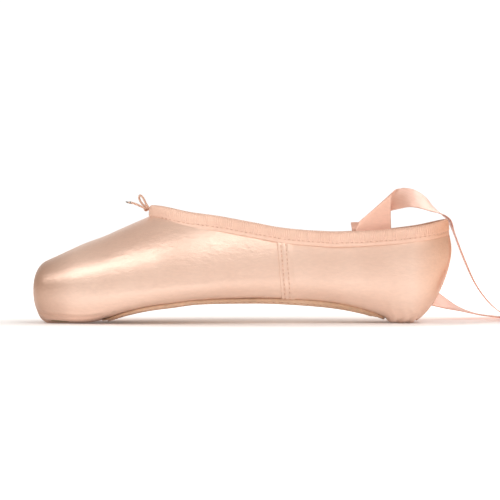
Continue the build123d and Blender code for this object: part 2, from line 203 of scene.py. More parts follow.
def grid_faces(rows, columns, closed_rows=False, closed_columns=False, start=0):
    r = np.arange(rows if closed_rows else rows - 1)
    c = np.arange(columns if closed_columns else columns - 1)
    r, c = np.meshgrid(r, c, indexing="ij")
    r1, c1 = (r + 1) % rows, (c + 1) % columns
    quads = np.stack([r * columns + c, r * columns + c1, r1 * columns + c1, r1 * columns + c], -1)
    return quads.reshape(-1, 4) + start


def lengths_uv(points):
    """Texture coordinates in centimetres: distance along the rows and along the columns."""
    def run(axis):
        steps = np.linalg.norm(np.diff(points, axis=axis), axis=-1)
        pad = [(0, 0), (0, 0)]
        pad[axis] = (1, 0)
        return np.pad(np.cumsum(steps, axis=axis), pad)
    return np.stack([run(0), run(1)], -1) * 0.1


def normals_of(points):
    du, dv = np.gradient(points, axis=0), np.gradient(points, axis=1)
    n = np.cross(du, dv)
    return n / np.maximum(np.linalg.norm(n, axis=-1, keepdims=True), 1e-9)


def cloth(name, points, thick=0.5, flip=False, lift=None, uvs=None):
    """A sheet through a grid of points, raised by lift along its normal and given a thickness."""
    points = np.asarray(points, float)
    if uvs is None:
        uvs = lengths_uv(points)
    if lift is not None:
        joined = np.linalg.norm(points[:, 0] - points[:, -1], axis=-1) < 1e-4
        points = points + normals_of(points) * (lift * (-1 if flip else 1))[..., None]
        points[joined, 0] = points[joined, -1] = (points[joined, 0] + points[joined, -1]) / 2
        points[..., 2] = np.maximum(points[..., 2], 0.03)   # folds lie flat where the floor is
    faces = grid_faces(*points.shape[:2])
    if not flip:
        faces = faces[:, ::-1]
    made = add_object(name, points, faces, uvs)
    weld = made.modifiers.new("joined_edges", "WELD")
    weld.merge_threshold = 0.0005 * MM
    solid = made.modifiers.new("thickness", "SOLIDIFY")
    solid.thickness = thick * MM
    solid.offset = -1
    return made


def tube(name, path, radius, around=12, bumps=None, caps=True):
    """A closed tube along a path, with radius a number or one value for each point."""
    path = np.asarray(path, float)
    count = len(path)
    tangent = np.gradient(path, axis=0)
    tangent /= np.linalg.norm(tangent, axis=1, keepdims=True)
    side = np.cross(tangent[0], (0.31, 0.2, 0.93))
    frames = []
    for t in tangent:
        side = side - t * side.dot(t)
        side /= np.linalg.norm(side)
        frames.append((side, np.cross(t, side)))
    a = np.linspace(0, 2 * math.pi, around, endpoint=False)
    radii = np.broadcast_to(radius, count)[:, None] * np.ones(around)
    if bumps is not None:
        radii = radii * bumps(np.arange(count)[:, None] / count, a[None])
    s, b = (np.array([f[k] for f in frames])[:, None] for k in (0, 1))
    ring = path[:, None] + radii[..., None] * (s * np.cos(a)[None, :, None] + b * np.sin(a)[None, :, None])
    along = np.concatenate([[0], np.cumsum(np.linalg.norm(np.diff(path, axis=0), axis=1))]) * 0.1
    uvs = np.stack(np.broadcast_arrays(along[:, None], a[None] / 60), -1)
    points, faces = ring.reshape(-1, 3), grid_faces(count, around, closed_columns=True).tolist()
    if caps:
        faces += [list(range(around))[::-1], list(range((count - 1) * around, count * around))]
    mesh = bpy.data.meshes.new(name)
    mesh.from_pydata((points * MM).tolist(), [], faces)
    layer = mesh.uv_layers.new(name="UVMap")
    corners = np.empty(len(mesh.loops), dtype=np.int32)
    mesh.loops.foreach_get("vertex_index", corners)
    layer.data.foreach_set("uv", uvs.reshape(-1, 2)[corners].ravel())
    mesh.polygons.foreach_set("use_smooth", [True] * len(mesh.polygons))
    made = bpy.data.objects.new(name, mesh)
    bpy.context.scene.collection.objects.link(made)
    return made


def stitches(name, spots, length=1.9, radius=0.2):
    """Short raised threads; each spot is a place, the way the thread lies and the way out."""
    around, along = 6, 7
    t = np.linspace(-1, 1, along)
    a = np.linspace(0, 2 * math.pi, around, endpoint=False)
    points, faces = [], []
    for place, lie, out in spots:
        lie, out = np.array(lie, float), np.array(out, float)
        lie /= np.linalg.norm(lie)
        out = out - lie * out.dot(lie)
        out /= np.linalg.norm(out)
        side = np.cross(lie, out)
        girth = radius * np.sqrt(np.clip(1 - (np.abs(t) * 0.97) ** 4, 0.02, 1))
        arch = out * 0.10 * length
        centre = np.array(place) + np.outer(t * length / 2, lie) + np.outer(1 - t ** 2, arch)
        ring = centre[:, None] + girth[:, None, None] * (
            side * np.cos(a)[None, :, None] + out * np.sin(a)[None, :, None])
        faces.append(grid_faces(along, around, closed_columns=True, start=len(points) * along * around))
        points.append(ring.reshape(-1, 3))
    made = add_object(name, np.concatenate(points), np.concatenate(faces))
    return made


def through(points, count):
    """A smooth line through a few points, evenly stepped."""
    points = np.asarray(points, float)
    pad = np.vstack([2 * points[0] - points[1], points, 2 * points[-1] - points[-2]])
    out = []
    for i in range(1, len(pad) - 2):
        p0, p1, p2, p3 = pad[i - 1:i + 3]
        for s in np.linspace(0, 1, 16, endpoint=False):
            out.append(0.5 * (2 * p1 + (p2 - p0) * s + (2 * p0 - 5 * p1 + 4 * p2 - p3) * s ** 2
                              + (3 * p1 - p0 - 3 * p2 + p3) * s ** 3))
    out.append(pad[-2])
    out = np.array(out)
    run = np.concatenate([[0], np.cumsum(np.linalg.norm(np.diff(out, axis=0), axis=1))])
    want = np.linspace(0, run[-1], count)
    return np.stack([np.interp(want, run, out[:, k]) for k in range(out.shape[1])], -1)


def keep(piece, node_names, body="shoe"):
    """Puts a piece on its body, in place of CAD nodes."""
    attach(piece, body)
    if node_names:
        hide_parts(*node_names)
    return piece


# ---- materials -------------------------------------------------------------------------------
def srgb(r, g, b):
    """Colour from 0-255 display values."""
    def one(v):
        v /= 255
        return v / 12.92 if v <= 0.04045 else ((v + 0.055) / 1.055) ** 2.4
    return (one(r), one(g), one(b), 1.0)


class Nodes:
    """A material's node tree, with short calls to add and join nodes."""

    def __init__(self, name, roughness, **settings):
        self.material = bpy.data.materials.new(name)
        self.material.use_nodes = True
        self.tree = self.material.node_tree
        self.shader = next(n for n in self.tree.nodes if n.type == "BSDF_PRINCIPLED")
        self.shader.inputs["Roughness"].default_value = roughness
        for key, value in settings.items():
            self.shader.inputs[key.replace("_", " ").title().replace("Ior", "IOR")].default_value = value

    def add(self, kind, **values):
        node = self.tree.nodes.new(kind)
        for key, value in values.items():
            if hasattr(node, key):
                setattr(node, key, value)
            else:
                node.inputs[key].default_value = value
        return node

    def join(self, source, target, out=0, into=0):
        self.tree.links.new(source.outputs[out], target.inputs[into])
        return target

    def place(self, kind="UV"):
        return self.add("ShaderNodeTexCoord"), {"UV": 2, "Object": 3}[kind]

    def noise(self, scale, detail=3.0, coordinates="Object", stretch=(1, 1, 1)):
        where, out = self.place(coordinates)
        mapping = self.add("ShaderNodeMapping")
        mapping.inputs["Scale"].default_value = stretch
        self.join(where, mapping, out)
        made = self.add("ShaderNodeTexNoise", Scale=scale, Detail=detail)
        return self.join(mapping, made, 0, 0)

    def wave(self, scale, direction="X", coordinates="UV", distortion=0.0):
        where, out = self.place(coordinates)
        made = self.add("ShaderNodeTexWave", Scale=scale, Distortion=distortion)
        made.bands_direction = direction
        return self.join(where, made, out, 0)

    def ramp(self, source, stops, out=0):
        made = self.add("ShaderNodeValToRGB")
        elements = made.color_ramp.elements
        while len(elements) < len(stops):
            elements.new(0.5)
        for element, (place, colour) in zip(elements, stops):
            element.position, element.color = place, colour
        return self.join(source, made, out, 0)

    def mix(self, first, second, share, blend="MIX"):
        made = self.add("ShaderNodeMix", data_type="RGBA", blend_type=blend)
        made.inputs["Factor"].default_value = share
        self.join(first, made, 0, 6)
        self.join(second, made, 0, 7)
        return made

    def colour(self, node, out=0):
        self.tree.links.new(node.outputs[out], self.shader.inputs["Base Color"])

    def bump(self, layers):
        """Chains bumps: each is a height node, a strength and a distance in millimetres."""
        before = None
        for node, strength, distance in layers:
            made = self.add("ShaderNodeBump", Strength=strength, Distance=distance * MM)
            self.join(node, made, 0, made.inputs.find("Height"))
            if before:
                self.join(before, made, 0, made.inputs.find("Normal"))
            before = made
        self.join(before, self.shader, 0, self.shader.inputs.find("Normal"))


def satin_material(name, light, deep, roughness=0.35, metallic=0.35):
    """Woven satin: soft broad colour changes, fine lengthwise grain and a silky sheen."""
    m = Nodes(name, roughness, Sheen_Weight=0.15, Sheen_Roughness=0.35, Anisotropic=0.3,
              Specular_Ior_Level=0.8, Metallic=metallic)
    m.shader.inputs["Sheen Tint"].default_value = srgb(255, 232, 218)
    cloudy = m.ramp(m.noise(28, 4), [(0.32, deep), (0.68, light)])
    fine = m.ramp(m.noise(900, 2, stretch=(0.35, 1, 1)), [(0.3, (0.93, 0.93, 0.93, 1)), (0.7, (1, 1, 1, 1))])
    mixed = m.mix(cloudy, fine, 0.8, "MULTIPLY")
    # Painted shade: darker and greyer at the tip of the toe, and a warmer, deeper painted shade round the
    # back of the heel.
    along = m.add("ShaderNodeMapping")
    where, out = m.place("Object")
    m.join(where, along, out, 0)
    along.inputs["Scale"].default_value = (4.0, 1, 1)
    along.inputs["Location"].default_value = (0.86, 0, 0)
    parts = m.join(along, m.add("ShaderNodeSeparateXYZ"), 0, 0)
    painted_end_shade = m.ramp(parts, [(0.05, srgb(206, 192, 182)), (0.13, (1, 1, 1, 1)), (0.88, (1, 1, 1, 1)),
                          (0.965, srgb(250, 224, 202))])
    toned = m.add("ShaderNodeMix", data_type="RGBA", blend_type="MULTIPLY")
    toned.inputs["Factor"].default_value = 1.0
    m.join(mixed, toned, 2, 6)
    m.join(painted_end_shade, toned, 0, 7)
    m.colour(toned, 2)
    grain = m.wave(22, "Y")
    m.bump([(grain, 0.10, 0.05), (m.noise(1400, 2, stretch=(0.3, 1, 1)), 0.6, 0.12),
            (m.noise(420, 3, stretch=(0.5, 1, 1)), 0.6, 0.25), (m.noise(110, 3), 0.35, 0.5)])
    return m.material


def weave_material(name, light, deep, pitch=10.0, roughness=0.85, strength=0.6):
    """Plain woven cotton: threads both ways with soft slubs."""
    m = Nodes(name, roughness, Sheen_Weight=0.15)
    cloudy = m.ramp(m.noise(40, 4), [(0.3, deep), (0.7, light)])
    warp, weft = m.wave(pitch, "X", distortion=0.6), m.wave(pitch, "Y", distortion=0.6)
    threads = m.mix(warp, weft, 0.5)
    shade = m.ramp(threads, [(0.2, (0.86, 0.86, 0.86, 1)), (0.7, (1, 1, 1, 1))], out=2)
    m.colour(m.mix(cloudy, shade, 0.6, "MULTIPLY"), 2)
    heights = m.ramp(threads, [(0, (0, 0, 0, 1)), (1, (1, 1, 1, 1))], out=2)
    m.bump([(heights, strength, 0.12), (m.noise(260, 4), 0.3, 0.2)])
    return m.material


def leather_material(name, light, deep, roughness=0.72, grain=420):
    """Buffed leather: short nap, pores and darker rubbed patches."""
    m = Nodes(name, roughness, Sheen_Weight=0.1)
    patches = m.ramp(m.noise(35, 5), [(0.35, deep), (0.65, light)])
    nap = m.ramp(m.noise(grain, 6), [(0.3, (0.8, 0.8, 0.8, 1)), (0.7, (1, 1, 1, 1))])
    m.colour(m.mix(patches, nap, 0.7, "MULTIPLY"), 2)
    cells = m.add("ShaderNodeTexVoronoi", Scale=grain * 1.6)
    where, out = m.place("Object")
    m.join(where, cells, out, 0)
    m.bump([(cells, 0.25, 0.12), (m.noise(grain, 6), 0.35, 0.15)])
    return m.material


def thread_material(name, light, deep, twist=60.0):
    """Twisted thread or braid: slanting plies and a faint fuzz."""
    m = Nodes(name, 0.6, Sheen_Weight=0.3)
    where, out = m.place("Object")
    plies = m.add("ShaderNodeTexWave", Scale=twist * 6, Distortion=1.0)
    plies.bands_direction = "DIAGONAL"
    m.join(where, plies, out, 0)
    m.colour(m.ramp(plies, [(0.15, deep), (0.7, light)]))
    m.bump([(plies, 0.5, 0.08), (m.noise(1500, 2), 0.3, 0.05)])
    return m.material


def brass_material():
    m = Nodes("brass", 0.32, Metallic=1.0)
    m.colour(m.ramp(m.noise(300, 5), [(0.3, srgb(168, 128, 66)), (0.7, srgb(214, 178, 104))]))
    m.bump([(m.noise(700, 3), 0.2, 0.05)])
    return m.material


SATIN = satin_material("satin", srgb(248, 216, 197), srgb(240, 204, 184))
BINDING = satin_material("binding_satin", srgb(248, 211, 190), srgb(238, 196, 174),
                         roughness=0.5, metallic=0.1)
RIBBON = satin_material("ribbon_satin", srgb(248, 200, 178), srgb(240, 186, 164),
                        roughness=0.42, metallic=0.15)
LINING = weave_material("lining_cotton", srgb(240, 224, 204), srgb(228, 208, 184))
SOCK = weave_material("sock_cloth", srgb(238, 222, 204), srgb(222, 203, 182), pitch=6.0, strength=0.8)
THREAD = thread_material("sewing_thread", srgb(230, 186, 160), srgb(198, 148, 122))
CORD = thread_material("cotton_cord", srgb(240, 204, 182), srgb(200, 150, 126), twist=90)
FRAY = thread_material("frayed_fibre", srgb(196, 184, 172), srgb(128, 118, 108), twist=120)
OUTSOLE = leather_material("outsole_suede", srgb(240, 202, 172), srgb(222, 182, 150))
SHANK = leather_material("shank_board", srgb(140, 96, 62), srgb(112, 74, 46), grain=260)
BOARD = leather_material("insole_fibre", srgb(180, 148, 110), srgb(156, 124, 90), grain=320)
PASTE = weave_material("box_burlap", srgb(196, 170, 128), srgb(170, 142, 100), pitch=4.0, roughness=0.95)
BRASS = brass_material()


def finish_with(piece, material):
    piece.data.materials.clear()
    piece.data.materials.append(material)
    return piece


# ---- satin upper ------------------------------------------------------------------------------
VAMP_ROWS, VAMP_COLUMNS = 420, 360
QUARTER_ROWS, QUARTER_COLUMNS = 300, 170
FOLD_RISE = 0.75                       # how proud the quarter's folded edge stands


def eased_stations(x0, x1, count, start_reach=0.0, end_reach=0.0):
    """Places along X that crowd together where an end rounds over."""
    t = np.linspace(0, 1, count)
    bend0, bend1 = start_reach / (x1 - x0), end_reach / (x1 - x0)
    from_start = np.clip(t / max(bend0, 1e-3), 0, 1) ** 0.6
    from_end = np.clip((1 - t) / max(bend1, 1e-3), 0, 1) ** 0.6
    weight = 1 / (0.02 + from_start * from_end)
    run = np.concatenate([[0], np.cumsum((weight[1:] + weight[:-1]) / 2)])
    even = np.interp(np.linspace(0, run[-1], count), run, t)
    return x0 + (x1 - x0) * even


def toe_pleats(x, angle, z):
    """Folds of the satin drawn in under the platform towards the outsole's front end."""
    under = smooth(11.0, 2.0, z) * smooth(-164.5, -170, x) * smooth(-207, -202.5, x)
    spread = np.abs(angle - math.pi)
    fan = np.sin(spread * 15 + 0.8 * np.sin(spread * 7) + (x + 180) * 0.10)
    return under * 0.55 * (np.abs(fan) ** 0.7 * np.sign(fan) - 0.2)


def vamp_points():
    """Grid of the vamp: from the middle of the platform back to the side seam."""
    cap = 24
    stations = eased_stations(TIP_X, -66.0, VAMP_ROWS - cap, start_reach=9.0)
    v = np.linspace(0, 1, VAMP_COLUMNS)[None]
    x = np.repeat(stations[:, None], VAMP_COLUMNS, axis=1)
    for _ in range(3):
        start = edge_angle(x, raise_by=1.2)
        angle = start + (2 * math.pi - 2 * start) * v
        z = skin(x, angle)[..., 2]
        share = smooth(-110, -66, stations)[:, None]
        x = stations[:, None] + (seam_x(z) + 1.0 + 66.0) * share
    body = skin(x, angle)
    rim, centre = body[0], np.array([TIP_X, 0, 19.0])
    shrink = np.sin(np.linspace(0, math.pi / 2, cap, endpoint=False))[:, None, None]
    face = centre + (rim - centre)[None] * np.maximum(shrink, 0.002)
    points = np.concatenate([face, body])
    return points, np.concatenate([np.repeat(angle[:1], cap, axis=0), angle])


def make_vamp():
    points, angle = vamp_points()
    x, z = points[..., 0], points[..., 2]
    lift = toe_pleats(x, angle, z)
    lift += 0.10 * ripple(x / 9, z / 6, 3) * smooth(-204, -196, x)
    made = cloth("satin_vamp", points, lift=lift, flip=True)
    return finish_with(keep(made, ["vamp_satin"]), SATIN)


def quarter_points(side, depth=0.0, grow=1.2, columns=QUARTER_COLUMNS, rows=QUARTER_ROWS, front=0.0):
    """Grid of one quarter, from its folded front edge to the back seam."""
    stations = eased_stations(-70.0, HEEL_X - depth - 0.02, rows, end_reach=24.0)
    v = np.linspace(0, 1, columns)[None]
    x = np.repeat(stations[:, None], columns, axis=1)
    for _ in range(3):
        start = edge_angle(x, depth, grow)
        angle = start + (math.pi - start) * v
        z = skin(x, angle, depth)[..., 2]
        share = smooth(-20, -70, stations)[:, None]
        x = stations[:, None] + (seam_x(z) + 70.0 + front) * share
    points = skin(x, angle, depth)
    points[..., 1] *= -side
    return points, angle


def make_quarter(side, label):
    points, angle = quarter_points(side)
    x, z = points[..., 0], points[..., 2]
    behind = x - seam_x(z)
    roll = np.sqrt(np.clip(1 - (1 - np.clip(behind / 0.5, 0, 1)) ** 2, 0, 1))
    lift = FOLD_RISE * roll * (1 - 0.7 * smooth(6.0, 8.5, behind))
    for shift in SEAM_ROWS:
        lift -= 0.28 * np.exp(-((behind - shift) / 0.5) ** 2)
    lift += 0.12 * ripple(x / 10, z / 7, 11 + side)
    heel = smooth(12, 4, z) * smooth(-14, -4, x) * smooth(26, 14, x)
    lift += heel * 0.35 * np.sin(x * 1.1 + 1.5 * np.sin(angle * 9))
    made = cloth("satin_quarter_" + label, points, lift=lift, flip=side < 0)
    return finish_with(keep(made, ["quarter_satin_" + label]), SATIN)


make_vamp()
make_quarter(-1, "near")
make_quarter(1, "far")


# ---- linings and sock liner ---------------------------------------------------------------------
def lining_depth(x, z):
    """The lining lies inside the box in front of the wing line, and against the satin behind it."""
    return 3.8 - 2.6 * smooth(-1.0, 2.5, x - slant_x(WING_TOP, WING_FOOT, z))


def make_vamp_lining():
    stations = eased_stations(TIP_X + 3.9, -66.0, 200, start_reach=6.0)
    v = np.linspace(0, 1, 160)[None]
    x = np.repeat(stations[:, None], 160, axis=1)
    z = np.full_like(x, 20.0)
    for _ in range(3):
        depth = lining_depth(x, z)
        start = edge_angle(x, depth, -1.5)
        angle = start + (2 * math.pi - 2 * start) * v
        z = skin(x, angle, depth)[..., 2]
        share = smooth(-110, -66, stations)[:, None]
        x = stations[:, None] + (seam_x(z) + 66.0) * share
    points = skin(x, angle, lining_depth(x, z))
    lift = 0.15 * ripple(x / 7, points[..., 2] / 6, 21)
    made = cloth("lining_vamp", points, thick=0.4, lift=lift)
    return finish_with(keep(made, ["vamp_lining"]), LINING)


def make_quarter_lining(side, label):
    points, _ = quarter_points(side, depth=1.2, grow=-1.5, columns=90, rows=160)
    lift = 0.15 * ripple(points[..., 0] / 7, points[..., 2] / 6, 31 + side)
    made = cloth("lining_quarter_" + label, points, thick=0.4, lift=lift, flip=side > 0)
    return finish_with(keep(made, ["quarter_lining_" + label]), LINING)


def plan_grid(x0, x1, share, depth, rings, around):
    """Rings of points from the middle of a sole-shaped outline out to its edge, on the form."""
    a = np.linspace(0, 2 * math.pi, around, endpoint=False)
    along = -np.cos(a)
    ex = (x0 + x1) / 2 + (x1 - x0) / 2 * along
    ey = share * half_width(ex) * (1 - np.abs(along) ** 5) ** 0.4 * np.sign(np.sin(a))
    r = np.linspace(0, 1, rings)[:, None] ** 0.8
    x = (x0 + x1) / 2 + (ex[None] - (x0 + x1) / 2) * r
    y = ey[None] * r
    bottom, _, half, middle = section(x, depth)
    level = np.clip(np.abs(y) / np.maximum(half, 1e-6), 0, 0.999)
    z = middle - (middle - bottom) * (1 - level ** SOLE_POWER) ** (1 / SOLE_POWER)
    return np.stack([x, y, z], -1)


def closed_sheet(name, lower, upper):
    """A closed sheet from two sets of rings whose outer rings are joined by a rounded edge."""
    rim = lower[-1] + (upper[-1] - lower[-1]) * 0.5
    outward = rim - rim.mean(axis=0)
    outward[:, 2] = 0
    outward /= np.linalg.norm(outward, axis=1, keepdims=True)
    gap = np.linalg.norm(upper[-1] - lower[-1], axis=1, keepdims=True) / 2
    edge = [lower[-1] + outward * gap * 0.7 + (upper[-1] - lower[-1]) * 0.18,
            rim + outward * gap, upper[-1] + outward * gap * 0.7 - (upper[-1] - lower[-1]) * 0.18]
    rings = np.concatenate([lower, np.array(edge), upper[::-1]])
    faces = grid_faces(rings.shape[0], rings.shape[1], closed_columns=True)
    return add_object(name, rings, faces, lengths_uv(rings))


def make_sock_liner():
    upper = plan_grid(-190, 14, 0.72, 5.6, 40, 240)
    lower = plan_grid(-190, 14, 0.72, 5.1, 40, 240)
    x, y = upper[..., 0], upper[..., 1]
    upper[..., 2] += 0.12 * ripple(x / 8, y / 6, 41) + 0.25 * smooth(0, 14, np.abs(y))
    made = closed_sheet("sock_cloth", lower, upper)
    return finish_with(keep(made, ["sock_liner"]), SOCK)


def make_outsole():
    lower = plan_grid(-168.3, -9.2, 0.655, -1.75, 60, 420)
    upper = plan_grid(-168.3, -9.2, 0.655, -0.15, 60, 420)
    groove = plan_rim_distance(lower)
    x, y = lower[..., 0], lower[..., 1]
    lower[..., 2] += 0.35 * np.exp(-((groove - 3.0) / 0.45) ** 2) + 0.05 * ripple(x / 5, y / 5, 51)
    lower[..., 2] += 0.9 * smooth(-160, -168.3, x)
    made = closed_sheet("sole_leather", lower, upper)
    return finish_with(keep(made, ["outsole"]), OUTSOLE)


def plan_rim_distance(rings):
    rim = rings[-1][:, :2]
    return np.linalg.norm(rings[..., :2] - rim[None], axis=-1)


def make_sole_stitches():
    """A row of thread in the groove round the outsole's underside."""
    rings = plan_grid(-165.3, -16.0, 0.572, -1.65, 3, 220)
    rim = rings[-1]
    along = np.roll(rim, -1, axis=0) - np.roll(rim, 1, axis=0)
    spots = [(rim[i], along[i], (0, 0, -1)) for i in range(0, 220, 2)]
    made = stitches("sole_thread", spots, length=2.2, radius=0.22)
    return finish_with(keep(made, ["sole_stitches"]), THREAD)


make_vamp_lining()
make_quarter_lining(-1, "near")
make_quarter_lining(1, "far")
make_sock_liner()
make_outsole()
make_sole_stitches()


# ---- heel strip and side seam stitching -----------------------------------------------------------
def radial_point(angle, y, axis_x=2.0, axis_z=33.0, depth=0.0):
    """Where a ray in the plane at y leaves the form; angle 0 points back, a quarter turn down."""
    low, high = np.zeros_like(angle), np.full_like(angle, 60.0)
    for _ in range(30):
        r = (low + high) / 2
        x, z = axis_x + r * np.cos(angle), axis_z - r * np.sin(angle)
        bottom, top, _, _ = section(np.clip(x, TIP_X, HEEL_X - depth - 1e-4), depth)
        inside = (x < HEEL_X - depth) & (z > bottom) & (z < top) & (side_y(x, z, depth) > np.abs(y))
        low, high = np.where(inside, r, low), np.where(inside, high, r)
    x, z = axis_x + low * np.cos(angle), axis_z - low * np.sin(angle)
    return np.stack([x, np.broadcast_to(y, low.shape), z], -1)


STRIP_FOOT_ANGLE = 1.35                # where the strip ends, just clear of the floor


def heel_strip_grid(depth=0.0, rows=160, columns=40):
    angle = np.linspace(-0.66, STRIP_FOOT_ANGLE, rows)[:, None] * np.ones(columns)
    y = np.linspace(-0.5, 0.5, columns)[None] * HEEL_STRIP_W * np.ones((rows, 1))
    return radial_point(angle, y, depth=depth)


def make_heel_strip():
    points = heel_strip_grid()
    y = points[..., 1]
    edge = HEEL_STRIP_W / 2 - np.abs(y)
    lift = 0.12 + 0.48 * np.sqrt(np.clip(1 - (1 - np.clip(edge / 0.6, 0, 1)) ** 2, 0, 1))
    lift -= 0.2 * np.exp(-((edge - 1.3) / 0.35) ** 2)
    lift += 0.05 * ripple(points[..., 2] / 4, y / 4, 61)
    made = cloth("satin_heel_strip", points, thick=0.4, lift=lift, flip=heel_strip_flip(points))
    return finish_with(keep(made, ["heel_strip"]), SATIN)


def heel_strip_flip(points):
    return normals_of(points)[20, 20][0] < 0


def surface_out(x, z, side):
    """Unit vector out of the form's side wall."""
    step = 0.5
    dy_dx = (side_y(x + step, z) - side_y(x - step, z)) / (2 * step)
    dy_dz = (side_y(x, z + step) - side_y(x, z - step)) / (2 * step)
    out = np.array([-dy_dx, 1.0, -dy_dz])
    out[1] *= side
    return out / np.linalg.norm(out)


def make_side_seam_stitches(side, label):
    spots = []
    pitch = 2.6
    for row, shift in enumerate(SEAM_ROWS):
        for k in range(13):
            z = 14.8 + (k + 0.25 * row) * pitch
            if z > 45.5:
                continue
            x = seam_x(z) + shift
            out = surface_out(x, z, side)
            place = np.array([x, side * side_y(x, z), z]) + out * (FOLD_RISE - 0.12 - 0.12 * row)
            above = np.array([seam_x(z + 1) + shift, side * side_y(x, z + 1), z + 1])
            below = np.array([seam_x(z - 1) + shift, side * side_y(x, z - 1), z - 1])
            spots.append((place, above - below, out))
    made = stitches("seam_thread_" + label, spots, length=1.8, radius=0.2)
    return finish_with(keep(made, ["side_seam_stitches_" + label]), THREAD)


make_heel_strip()
make_side_seam_stitches(-1, "near")
make_side_seam_stitches(1, "far")


# ---- binding round the opening ------------------------------------------------------------------------
RIB_PITCH = 1.22
STITCH_PITCH = 2.7
STITCH_HEIGHT = -0.7
# outward distance and height of the casing's outline, from its lower outer edge over the top
BINDING_OUTLINE = [(0.55, -3.1), (0.95, -2.9), (1.08, -2.2), (1.05, -1.4), (0.92, -0.95), (0.78, -0.7),
                   (0.92, -0.4), (1.12, 0.2), (1.22, 1.2), (1.26, 2.4), (1.2, 3.6), (1.0, 4.7),
                   (0.55, 5.5), (-0.2, 5.85), (-1.0, 5.6), (-1.6, 4.9), (-1.95, 3.6), (-2.05, 2.0),
                   (-2.0, 0.4), (-1.9, -0.7), (-1.95, -1.6), (-1.9, -2.8), (-1.5, -3.1)]


def opening_line(count):
    """Even steps round the satin's cut edge: place, outward and standing directions, near side first."""
    turn = np.linspace(-math.pi, math.pi, 4001)
    x = (THROAT_X + BACK_X) / 2 - (BACK_X - THROAT_X) / 2 * np.cos(turn)
    place = np.stack([x, np.sign(turn) * side_y(x, edge_z(x)), edge_z(x)], -1)
    run = np.concatenate([[0], np.cumsum(np.linalg.norm(np.diff(place, axis=0), axis=1))])
    want = np.linspace(0, run[-1], count, endpoint=False)
    even_turn = np.interp(want, run, turn)
    place = np.stack([np.interp(want, run, place[:, k]) for k in range(3)], -1)
    along = np.roll(place, -3, axis=0) - np.roll(place, 3, axis=0)
    out = np.stack([-along[:, 1], along[:, 0], np.zeros(count)], -1)
    out /= np.linalg.norm(out, axis=1, keepdims=True)
    lean = 0.05 + 0.26 * np.abs(np.sin(even_turn))
    up = np.array([0, 0, 1.0]) - out * lean[:, None]
    up /= np.linalg.norm(up, axis=1, keepdims=True)
    return place, out, up, want, run[-1]


OPENING_POINTS = 1900


def make_binding():
    place, out, up, want, total = opening_line(OPENING_POINTS)
    outline = through(BINDING_OUTLINE, 44)
    step = np.gradient(outline, axis=0)
    normal = np.stack([step[:, 1], -step[:, 0]], -1)
    normal /= np.linalg.norm(normal, axis=1, keepdims=True)
    ribs = round(total / RIB_PITCH)
    phase = 2 * math.pi * ribs * want / total + 0.5 * ripple(want / 9, 0 * want, 71)
    high = smooth(-0.6, 0.4, outline[:, 1]) * smooth(-1.9, -0.9, outline[:, 0] - 1.1 * (outline[:, 1] > 4))
    push = 0.19 * np.cos(phase)[:, None] * high[None]
    push = push + 0.10 * ripple(want[:, None] / 6, outline[None, :, 1], 73)
    across = outline[None] + normal[None] * push[..., None]
    points = place[:, None] + out[:, None] * across[..., :1] + up[:, None] * across[..., 1:]
    rows, columns = points.shape[:2]
    faces = grid_faces(rows, columns, closed_rows=True, closed_columns=True)
    uvs = np.stack(np.broadcast_arrays(want[:, None] * 0.1, np.linspace(0, 1.9, columns)[None]), -1)
    made = add_object("binding_casing", points, faces, uvs)
    return finish_with(keep(made, ["binding"]), BINDING)


def make_binding_stitches():
    place, out, up, _, total = opening_line(OPENING_POINTS)
    pitch = total / round(total / STITCH_PITCH)
    spots = []
    for k in range(int(round(total / pitch))):
        i = int(k * pitch / total * OPENING_POINTS) % OPENING_POINTS
        spot = place[i] + out[i] * 0.86 + up[i] * (STITCH_HEIGHT + 0.06 * math.sin(k * 2.3))
        spots.append((spot, place[(i + 4) % OPENING_POINTS] - place[i - 4], out[i]))
    made = stitches("binding_thread", spots, length=1.85, radius=0.19)
    return finish_with(keep(made, ["binding_stitches"]), THREAD)


make_binding()
make_binding_stitches()


# ---- drawstring: loop and tail, knot and frayed end -------------------------------------------------
CORD_D = 1.2
BOW_X = -140.3
STRAND_Y, STRAND_FOOT = 1.1, 58.9
LOOP_ROUTE = [(BOW_X, -STRAND_Y, STRAND_FOOT), (BOW_X, -STRAND_Y, 62.6), (-142.0, -0.9, 64.6),
              (-143.9, -1.5, 67.6), (-145.0, -3.2, 70.4), (-146.8, -2.8, 72.3),
              (-147.9, -0.6, 70.8), (-146.6, 0.8, 67.8), (-144.2, 0.4, 65.6),
              (-143.2, -1.4, 64.4), (-145.0, -2.6, 65.0), (-147.6, -2.9, 66.3),
              (-150.4, -2.6, 67.5), (-153.4, -2.0, 68.0)]
KNOT = np.array([-143.7, 0, 65.0])


def route_points(route):
    """Points along the smooth line that a route's points control."""
    line = bpy.data.curves.new("route", "CURVE")
    line.dimensions = "3D"
    line.resolution_u = 16
    spline = line.splines.new("NURBS")
    spline.points.add(len(route) - 1)
    for point, place in zip(spline.points, route):
        point.co = (*place, 1.0)
    spline.order_u = 3
    spline.use_endpoint_u = True
    holder = bpy.data.objects.new("route", line)
    mesh = bpy.data.meshes.new_from_object(holder)
    points = np.array([v.co[:] for v in mesh.vertices])
    bpy.data.meshes.remove(mesh)
    bpy.data.objects.remove(holder)
    bpy.data.curves.remove(line)
    return points


def braid(share, angle):
    return 1 + 0.10 * np.sin(3 * angle + share * 190) + 0.06 * np.sin(3 * angle - share * 190)


